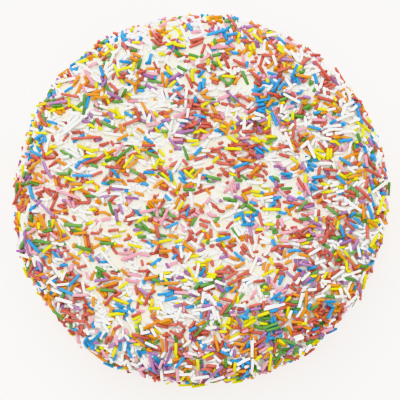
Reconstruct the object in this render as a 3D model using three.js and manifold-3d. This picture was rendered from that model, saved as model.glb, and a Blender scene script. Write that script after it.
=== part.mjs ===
// A round birthday cake, frosted all over and coated with sugar sprinkles.
// Millimetres, +Z up. The origin is the middle of the flat underside, and +Y is the photo's top edge.
import * as THREE from "three";
import { mergeVertices } from "three/addons/utils/BufferGeometryUtils.js";
import Module from "manifold-3d";

const wasm = await Module();
wasm.setup();

// ---- The frosted cake ----
const CAKE_RADIUS = 101.4; // of the frosting, halfway up the side
const CAKE_HEIGHT = 72; // of the frosting, where the top meets the rounded edge
const SHOULDER_RADIUS = 19; // the rounded edge between top and side
const CROWN = 2.2; // how much higher the middle of the top is than its edge
const FOOT_TUCK = 1.6; // how far the side leans in at the foot
const TOP_RADIUS = CAKE_RADIUS - SHOULDER_RADIUS;
const SHOULDER_ARC = (SHOULDER_RADIUS * Math.PI) / 2;
const SIDE_DEPTH = CAKE_HEIGHT - SHOULDER_RADIUS;
const PROFILE_LENGTH = TOP_RADIUS + SHOULDER_ARC + SIDE_DEPTH;

// The spatula left the frosting slightly uneven: long waves through space, each
// with its height, its length, the way it runs and its phase in turns.
const WAVES = [
  { height: 0.4, length: 96, way: [0.81, 0.47, 0.35], phase: 0.13 },
  { height: 0.36, length: 71, way: [-0.42, 0.86, 0.29], phase: 0.71 },
  { height: 0.3, length: 47, way: [0.24, -0.63, 0.74], phase: 0.38 },
  { height: 0.24, length: 33, way: [0.9, 0.17, -0.4], phase: 0.9 },
  { height: 0.18, length: 24, way: [-0.55, -0.7, 0.45], phase: 0.22 },
];
// Seen from above, the outline isn't quite round: it swells and hollows a few times
// round, each swell with its height and the azimuth, in degrees, where it is highest.
const SWELLS = [
  { times: 2, height: 0.5, azimuth: 13 },
  { times: 3, height: 0.3, azimuth: 16 },
  { times: 4, height: 0.15, azimuth: 2 },
  { times: 5, height: 0.3, azimuth: 22 },
];

// ---- The sprinkles: the largest of the coat, fused to the frosting ----
const SPRINKLES = 300;
const SPRINKLE_WIDTH = 1.7;
const SPRINKLE_TOP = 0.9; // width of the flat along its top
const STANDS_OUT = 1.1; // of a sprinkle, above the frosting
const SUNK = 0.6; // how far its wider underside is pressed in
const SHORTEST = 7.5; // of the sprinkles that are large enough to be here
const LONGEST = 13.5;
const FOOT_CLEARANCE = 2.5; // the lowest sprinkle keeps this far above the underside
const BEND_SHARE = 0.05; // the most that a sprinkle bows out, as a share of its length
const SCATTER = 0.38; // how far a sprinkle strays from its even place, in spacings
const SEED = 20117;

const GOLDEN_ANGLE = Math.PI * (3 - Math.sqrt(5));

// A repeatable draw of numbers from 0 to 1.
function drawFrom(seed) {
  let state = seed;
  return () => {
    state = (state * 48271) % 2147483647;
    return state / 2147483647;
  };
}

// How far the frosting stands out from its plain profile, at a point of that profile.
function relief(x, y, z) {
  let out = 0;
  for (const { height, length, way, phase } of WAVES) {
    const turns = (x * way[0] + y * way[1] + z * way[2]) / length + phase;
    out += height * Math.sin(2 * Math.PI * turns);
  }
  const outer = (Math.hypot(x, y) / CAKE_RADIUS) ** 4;
  for (const { times, height, azimuth } of SWELLS) {
    const turn = Math.atan2(y, x) - (azimuth * Math.PI) / 180;
    out += height * outer * Math.cos(times * turn);
  }
  return out;
}

// The plain profile at a walk `along` from the middle of the top, over the shoulder and
// down the side: radius and height, with the outward direction in the same plane.
function profileAt(along) {
  if (along <= TOP_RADIUS) {
    const share = along / TOP_RADIUS;
    const slope = (2 * CROWN * share) / TOP_RADIUS;
    const steep = Math.hypot(1, slope);
    const height = CAKE_HEIGHT + CROWN * (1 - share * share);
    return { radius: along, height, out: slope / steep, up: 1 / steep };
  }
  const past = along - TOP_RADIUS;
  if (past <= SHOULDER_ARC) {
    const turn = past / SHOULDER_RADIUS;
    return {
      radius: TOP_RADIUS + SHOULDER_RADIUS * Math.sin(turn),
      height: SIDE_DEPTH + SHOULDER_RADIUS * Math.cos(turn),
      out: Math.sin(turn),
      up: Math.cos(turn),
    };
  }
  const height = Math.max(PROFILE_LENGTH - along, 0);
  const drop = 1 - height / SIDE_DEPTH;
  return { radius: CAKE_RADIUS - FOOT_TUCK * drop ** 3, height, out: 1, up: 0 };
}

// A point of the frosting's surface, and the outward direction there.
function surfaceAt(along, azimuth) {
  const { radius, height, out, up } = profileAt(along);
  const [c, s] = [Math.cos(azimuth), Math.sin(azimuth)];
  const lift = relief(radius * c, radius * s, height);
  const normal = new THREE.Vector3(out * c, out * s, up);
  const point = new THREE.Vector3(radius * c, radius * s, height);
  return { point: point.addScaledVector(normal, lift), normal };
}

// A closed solid of one geometry, whose seams and poles are merged first.
function solidOf(geometry) {
  const bare = geometry.clone();
  bare.deleteAttribute("normal");
  bare.deleteAttribute("uv");
  const merged = mergeVertices(bare, 1e-3);
  const corners = merged.index.array;
  const kept = [];
  for (let i = 0; i < corners.length; i += 3) {
    const [a, b, c] = corners.slice(i, i + 3);
    if (a !== b && b !== c && c !== a) kept.push(a, b, c);
  }
  const vertProperties = new Float32Array(merged.attributes.position.array);
  const triVerts = new Uint32Array(kept);
  const mesh = new wasm.Mesh({ numProp: 3, vertProperties, triVerts });
  return new wasm.Manifold(mesh);
}

// ---- The frosting: the profile turned round, then lifted by the relief ----
const TURN_STEPS = 54;
const TOP_STEPS = 6;
const SHOULDER_STEPS = 5;
const SIDE_STEPS = 3;
const UNDERSIDE_RING = 0.45; // share of the radius where the underside has its inner ring
const NEARLY_FLAT = 0.25; // faces that lie this close to one plane are merged

function frostingWalk() {
  const walk = [];
  for (let i = 0; i <= TOP_STEPS; i++) walk.push((TOP_RADIUS * i) / TOP_STEPS);
  for (let i = 1; i <= SHOULDER_STEPS; i++)
    walk.push(TOP_RADIUS + (SHOULDER_ARC * i) / SHOULDER_STEPS);
  for (let i = 1; i <= SIDE_STEPS; i++)
    walk.push(TOP_RADIUS + SHOULDER_ARC + (SIDE_DEPTH * i) / SIDE_STEPS);
  return walk;
}

function frostingSolid() {
  const walk = frostingWalk();
  const outline = walk.map((along) => {
    const { radius, height } = profileAt(along);
    return new THREE.Vector2(radius, height);
  });
  const foot = outline[outline.length - 1].x;
  outline.push(new THREE.Vector2(foot * UNDERSIDE_RING, 0));
  outline.push(new THREE.Vector2(0, 0));
  outline.reverse(); // from the underside up, so that the faces point out
  const turned = new THREE.LatheGeometry(outline, TURN_STEPS);
  turned.rotateX(Math.PI / 2);
  const place = turned.attributes.position;
  for (let i = 0; i < place.count; i++) {
    const ring = outline.length - 1 - (i % outline.length);
    if (ring >= walk.length) continue;
    const azimuth = Math.atan2(place.getY(i), place.getX(i));
    const { point } = surfaceAt(walk[ring], ring ? azimuth : 0);
    place.setXYZ(i, point.x, point.y, point.z);
  }
  return solidOf(turned).simplify(NEARLY_FLAT);
}

// ---- Where the sprinkles lie ----
// Area of the plain surface from the middle of the top to a walk `along`.
function areaTo(along) {
  const top = Math.min(along, TOP_RADIUS);
  const turn = Math.min(Math.max(along - TOP_RADIUS, 0), SHOULDER_ARC) / SHOULDER_RADIUS;
  const side = Math.max(along - TOP_RADIUS - SHOULDER_ARC, 0);
  const shoulder = TOP_RADIUS * turn + SHOULDER_RADIUS * (1 - Math.cos(turn));
  return Math.PI * (top * top + 2 * SHOULDER_RADIUS * shoulder + 2 * CAKE_RADIUS * side);
}

function walkToArea(area) {
  let [near, far] = [0, PROFILE_LENGTH];
  for (let i = 0; i < 40; i++) {
    const middle = (near + far) / 2;
    if (areaTo(middle) < area) near = middle;
    else far = middle;
  }
  return (near + far) / 2;
}

// Each place is on an even golden-angle spiral, strayed a little, with its own heading.
function sprinklePlaces() {
  const draw = drawFrom(SEED);
  const spacing = Math.sqrt(areaTo(PROFILE_LENGTH) / SPRINKLES);
  const places = [];
  for (let i = 0; i < SPRINKLES; i++) {
    const even = walkToArea((areaTo(PROFILE_LENGTH) * (i + 0.5)) / SPRINKLES);
    const along = Math.max(even + (draw() - 0.5) * 2 * SCATTER * spacing, 1);
    const around = Math.max(profileAt(even).radius, spacing);
    const stray = ((draw() - 0.5) * 2 * SCATTER * spacing) / around;
    const heading = draw() * Math.PI;
    const size = draw();
    const length = SHORTEST + (LONGEST - SHORTEST) * size * size;
    const bow = (draw() - 0.5) * 2 * BEND_SHARE * length;
    places.push({ along, azimuth: i * GOLDEN_ANGLE + stray, heading, length, bow });
  }
  return places;
}

// The middle of a sprinkle, its own direction, the way across it and the way out.
function poseOf({ along, azimuth, heading, length }) {
  const rise = Math.abs(Math.sin(heading)) * length * 0.5 + SPRINKLE_WIDTH / 2;
  const lowest = PROFILE_LENGTH - FOOT_CLEARANCE - rise;
  const { point, normal } = surfaceAt(Math.min(along, lowest), azimuth);
  const round = new THREE.Vector3(-Math.sin(azimuth), Math.cos(azimuth), 0);
  const down = new THREE.Vector3().crossVectors(round, normal);
  const axis = round.clone().multiplyScalar(Math.cos(heading));
  axis.addScaledVector(down, Math.sin(heading));
  const across = new THREE.Vector3().crossVectors(normal, axis);
  return { middle: point, axis, across, normal };
}

// The outline of a sprinkle's end: its rounded upper half in three flats, and its sides
// going on down into the frosting.
const flare = ((SPRINKLE_WIDTH - SPRINKLE_TOP) / 2) * (1 + SUNK / STANDS_OUT);
const SECTION = new THREE.Shape([
  new THREE.Vector2(-SPRINKLE_TOP / 2, STANDS_OUT),
  new THREE.Vector2(-SPRINKLE_TOP / 2 - flare, -SUNK),
  new THREE.Vector2(SPRINKLE_TOP / 2 + flare, -SUNK),
  new THREE.Vector2(SPRINKLE_TOP / 2, STANDS_OUT),
]);
const LEAST_BOW = 0.4; // a straighter sprinkle is made straight

// A short rod with flat ends, bowed sideways along the surface.
function sprinkleSolid(place) {
  const { middle, axis, across, normal } = poseOf(place);
  const { length, bow } = place;
  const steps = Math.abs(bow) > LEAST_BOW ? 2 : 1;
  const rod = new THREE.ExtrudeGeometry(SECTION, {
    depth: length,
    steps,
    bevelEnabled: false,
  });
  rod.translate(0, 0, -length / 2);
  const at = rod.attributes.position;
  for (let i = 0; i < at.count; i++) {
    const half = at.getZ(i) / (length / 2);
    at.setX(i, at.getX(i) + bow * (1 - half * half));
  }
  rod.applyMatrix4(new THREE.Matrix4().makeBasis(across, normal, axis));
  rod.translate(middle.x, middle.y, middle.z);
  return solidOf(rod);
}

// ---- Fusing ----
const SLIVER = 0.05; // edges shorter than this, left where faces just meet, are closed up

// Only the cake itself is kept: no loose scrap, and no hollow sealed in by the fusing.
function largestBody(solid) {
  const bodies = solid.decompose();
  return bodies.reduce((best, body) => (body.volume() > best.volume() ? body : best));
}

function cakeGeometry() {
  const coat = sprinklePlaces().map(sprinkleSolid);
  const fused = wasm.Manifold.union([frostingSolid(), ...coat]);
  const whole = largestBody(fused).simplify(SLIVER);
  const { numProp, vertProperties, triVerts } = whole.getMesh();
  const geometry = new THREE.BufferGeometry();
  const corners = new Float32Array(vertProperties);
  geometry.setAttribute("position", new THREE.BufferAttribute(corners, numProp));
  geometry.setIndex(new THREE.BufferAttribute(new Uint32Array(triVerts), 1));
  geometry.computeVertexNormals();
  return geometry;
}

const FROSTING = new THREE.MeshStandardMaterial({
  color: 0xf3eee2,
  roughness: 0.6,
  metalness: 0,
});

const cake = new THREE.Mesh(cakeGeometry(), FROSTING);
cake.name = "cake";

const birthdayCake = new THREE.Group();
birthdayCake.name = "birthday_cake";
birthdayCake.add(cake);

export default birthdayCake;
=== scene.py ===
"""A round birthday cake, frosted and coated with sugar sprinkles, seen from straight above.

The frosted body and the sprinkles replace the solid model's one node. Their sizes are in
millimetres, as the solid model's are, and become metres where a mesh is made. The largest
sprinkles lie exactly where the solid model has them, and the rest come to rest on those.
"""

import math
from collections import namedtuple
from types import SimpleNamespace

import bpy
import numpy as np
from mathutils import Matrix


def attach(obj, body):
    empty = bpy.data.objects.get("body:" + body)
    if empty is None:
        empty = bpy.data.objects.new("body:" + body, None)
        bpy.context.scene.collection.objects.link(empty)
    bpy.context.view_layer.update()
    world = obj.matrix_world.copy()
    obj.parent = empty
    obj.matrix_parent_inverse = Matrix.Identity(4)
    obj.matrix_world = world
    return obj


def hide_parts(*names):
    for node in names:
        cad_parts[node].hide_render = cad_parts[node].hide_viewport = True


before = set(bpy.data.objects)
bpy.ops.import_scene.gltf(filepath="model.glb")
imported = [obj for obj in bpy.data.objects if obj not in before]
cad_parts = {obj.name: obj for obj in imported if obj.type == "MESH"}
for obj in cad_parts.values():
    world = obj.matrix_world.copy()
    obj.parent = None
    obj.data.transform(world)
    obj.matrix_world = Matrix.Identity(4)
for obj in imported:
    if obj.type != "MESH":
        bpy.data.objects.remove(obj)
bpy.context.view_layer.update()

MM = 0.001
TINY = 1e-6

# ---- The frosted cake, with the same sizes as the solid model, in millimetres ----
CAKE_RADIUS = 101.4
CAKE_HEIGHT = 72.0
SHOULDER_RADIUS = 19.0
CROWN = 2.2
FOOT_TUCK = 1.6
TOP_RADIUS = CAKE_RADIUS - SHOULDER_RADIUS
SHOULDER_ARC = SHOULDER_RADIUS * math.pi / 2
SIDE_DEPTH = CAKE_HEIGHT - SHOULDER_RADIUS
PROFILE_LENGTH = TOP_RADIUS + SHOULDER_ARC + SIDE_DEPTH

# Long waves in the frosting: height, length, the way they run and phase in turns.
WAVES = (
    (0.4, 96, (0.81, 0.47, 0.35), 0.13),
    (0.36, 71, (-0.42, 0.86, 0.29), 0.71),
    (0.3, 47, (0.24, -0.63, 0.74), 0.38),
    (0.24, 33, (0.9, 0.17, -0.4), 0.9),
    (0.18, 24, (-0.55, -0.7, 0.45), 0.22),
)
# Swells of the outline seen from above: times round, height, azimuth in degrees.
SWELLS = ((2, 0.5, 13), (3, 0.3, 16), (4, 0.15, 2), (5, 0.3, 22))
SWELL_POWER = 4  # how quickly they fade towards the middle of the top

# Finer marks of the spatula: height, size, how fast they change along x as a share of that
# along y (a slow change makes a long stroke), and seed.
SPATULA_MARKS = ((0.32, 9.0, 1.0, 11), (0.2, 3.6, 0.35, 12), (0.12, 1.9, 1.0, 13))
LATTICE = 32  # random values each way before they repeat

# The largest sprinkles, which the solid model has too.
LARGE_SPRINKLES = 300
LARGE_LENGTHS = (7.5, 13.5)
LARGE_THICK = 1.7
FOOT_CLEARANCE = 2.5
BEND_SHARE = 0.05
SCATTER = 0.38
LARGE_LIFT = 0.25  # of their axes above the frosting
LARGE_NEAREST = 1  # to the middle of the top
LARGE_SEED = 20117
DRAW_FACTOR = 48271
DRAW_MODULUS = 2147483647
GOLDEN_ANGLE = math.pi * (3 - math.sqrt(5))

# ---- The photo: its scale, and where the cake is in its 400 x 400 pixels ----
PHOTO_SIZE = 400
CAKE_CENTRE_PX = (200.3, 199.9)
OUTLINE_RADIUS_PX = 186.5
CAMERA_HEIGHT = 1200.0
COAT_RADIUS = CAKE_RADIUS + 3.3  # of the outline, with the sprinkles on it
COAT_HEIGHT = 47.0  # where the sight line just touches the side
FOCAL_PX = OUTLINE_RADIUS_PX * (CAMERA_HEIGHT - COAT_HEIGHT) / COAT_RADIUS
SENSOR_MM = 36.0

# ---- The rest of the coat ----
SMALL_SPRINKLES = 15500  # strewn, of which those that would lie too high roll off
DRAWN_FOR_ONE = 3  # places drawn for each one that is kept
SMALL_FOOT_CLEARANCE = 0.8
SMALL_NEAREST = 0.5  # to the middle of the top
SEED = 4107

# How thickly they are strewn, as shares of the density in the middle.
RIM_DENSITY = 1.4
SIDE_DENSITY = 1.05
MORE_IN_HEAPS = 0.6
RIM_START = 0.75  # where the rim's density starts, and how wide the change is, in top radii
RIM_CHANGE = 0.35

# Which way they lie: on the top, this share looks level in the photo, give or take a spread.
LEVEL_SHARE = 0.66
LEVEL_TILT = 0.08
LEVEL_SPREAD = 0.45
LEVEL_END = 1.25  # where that share has faded out, in top radii, and how quickly it does
LEVEL_FADE = 1.6

# Their lengths: the shortest whole one, the shape and scale of the spread, and the longest.
SHORTEST = 2.9
LENGTH_SHAPE = 2.2
LENGTH_SCALE = 1.3
LONGEST = 12
STUB_SHARE = 0.1  # broken ones
STUB_LENGTHS = (1.7, 3.0)

# How bowed they are, as shares of their lengths.
CURLED_SHARE = 0.15
CURLED_BOW = 0.09
USUAL_BOW = 0.03
STRAIGHT_LENGTH = 4  # up to this length they are straight

# Pairs: the share that lie beside the one before, and how closely they follow it.
PAIRED = 0.2
PAIR_TURN = 0.07
PAIR_GAP = 1.03  # in thicknesses
PAIR_SLIDE = 0.18  # in lengths
PAIR_LENGTHS = (0.75, 1.1)

# Half their thickness, its spread and its limits.
HALF_THICK = 0.88
HALF_THICK_SPREAD = 0.06
HALF_THICK_LIMITS = (0.7, 1.06)

# How deep they sink into the frosting: the shape of the spread, and the deepest.
SUNK_SHAPE = (1.5, 2.1)
SUNK_DEEPEST = 1.35

# Those that stand in the frosting: their share, how much more of it there is at the rim, how
# far round the shoulder they go, how steeply they rise, how deep they are and the longest one.
STUCK_IN = 0.03
STUCK_MORE_AT_RIM = 2
STUCK_UNTIL = 0.9
STUCK_SLOPES = (0.9, 4)
STUCK_DEPTH = 1.4
STUCK_LONGEST = 5.5

# Each is tried at its own place first, and then this far from it and turned this much. The
# second of a pair and one that stands out in the photo stray less: shares of both.
TRIES = 3
STRAY = 1.1
STRAY_TURN = 0.3
PAIR_STRAY = (0.25, 0.3)
STANDOUT_STRAY = (0.35, 0.25)

# How they come to rest.
BALLS = 9  # along each sprinkle, where it can touch another
END_BALL = 0.9  # how far in the outermost one is, in half thicknesses
LAID_SLACK = 0.94  # sprinkles press together this much
TILT_COST = 0.8  # a slope of 1 is as bad as lying this much higher
STEEPEST = 0.9
STEEPEST_STANDOUT = 1.0
HIGHEST = 2.7  # of a sprinkle's axis above the frosting
HIGHEST_IN_HEAPS = 4.0
HIGHEST_ON_SIDE = 1.8  # where they are pressed on
HIGHEST_STANDOUT = 5.2
SMALLEST_RING = 4  # nearer the middle, a step sideways turns no further round than here
SMALLEST_PAIR_RING = 3

# One that stands out, where the surface turns away from the camera: limits to how far its
# length in the photo is drawn out.
LEAST_UP = 0.4
MOST_STRETCHED = 1.4

# Places in the photo, in pixels across and down, and how far each reaches: first where the
# sprinkles are mostly white, then where they are heaped, then where few are white.
PALE_PLACES = (
    (75, 135, 24), (142, 98, 24), (200, 103, 18), (285, 150, 16), (62, 222, 12), (225, 232, 18),
    (125, 262, 22), (170, 310, 14), (320, 78, 14), (196, 214, 14), (157, 100, 10), (75, 295, 26),
    (187, 288, 22), (335, 262, 20), (305, 285, 20), (170, 110, 18), (95, 112, 20), (232, 203, 14),
    (110, 252, 16), (300, 250, 14), (80, 205, 14), (350, 205, 14), (140, 142, 12), (260, 292, 14),
)
HEAPED_PLACES = (
    (120, 60, 26), (275, 72, 18), (325, 120, 30), (340, 215, 28), (310, 312, 38), (250, 355, 36),
    (165, 365, 30), (35, 270, 20), (120, 165, 18), (330, 265, 24), (60, 300, 24),
)
VIVID_PLACES = (
    (300, 330, 28), (255, 355, 24), (165, 368, 20), (35, 270, 14), (225, 35, 18), (272, 82, 16),
    (270, 20, 12), (205, 52, 12),
)
# Where each colour gathers in the photo, in pixels across and down.
GATHERING_REACH = 12
GATHERING = {
    "white": ((65, 130), (65, 155), (232, 118), (278, 155), (160, 265), (105, 315), (250, 250),
              (345, 150), (210, 300), (125, 270), (150, 95), (335, 78)),
    "red": ((135, 60), (235, 275), (295, 325), (225, 155), (295, 130), (200, 115), (75, 315),
            (50, 185), (250, 170), (330, 200), (185, 325), (130, 235)),
    "orange": ((285, 66), (350, 220), (300, 310), (135, 150), (37, 225), (150, 325), (82, 82),
               (235, 290), (60, 290), (215, 345)),
    "yellow": ((180, 48), (155, 165), (270, 205), (125, 115), (325, 155), (95, 150), (375, 235),
               (108, 240), (225, 325), (210, 275), (60, 75), (360, 135)),
    "green": ((265, 325), (50, 240), (60, 175), (285, 190), (150, 150), (225, 75), (205, 290),
              (350, 190), (220, 365), (330, 110)),
    "blue": ((230, 38), (275, 85), (265, 105), (315, 170), (340, 235), (82, 171), (118, 68),
             (270, 330), (35, 140), (125, 310), (170, 295), (155, 245)),
    "purple": ((15, 230), (288, 268), (55, 95), (170, 130), (120, 190), (275, 340), (345, 245),
               (210, 370), (105, 85), (155, 365)),
    "pink": ((355, 168), (155, 45), (220, 45), (130, 128), (62, 195), (160, 215), (130, 255),
             (80, 270), (180, 295), (305, 130), (85, 330)),
}
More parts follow.
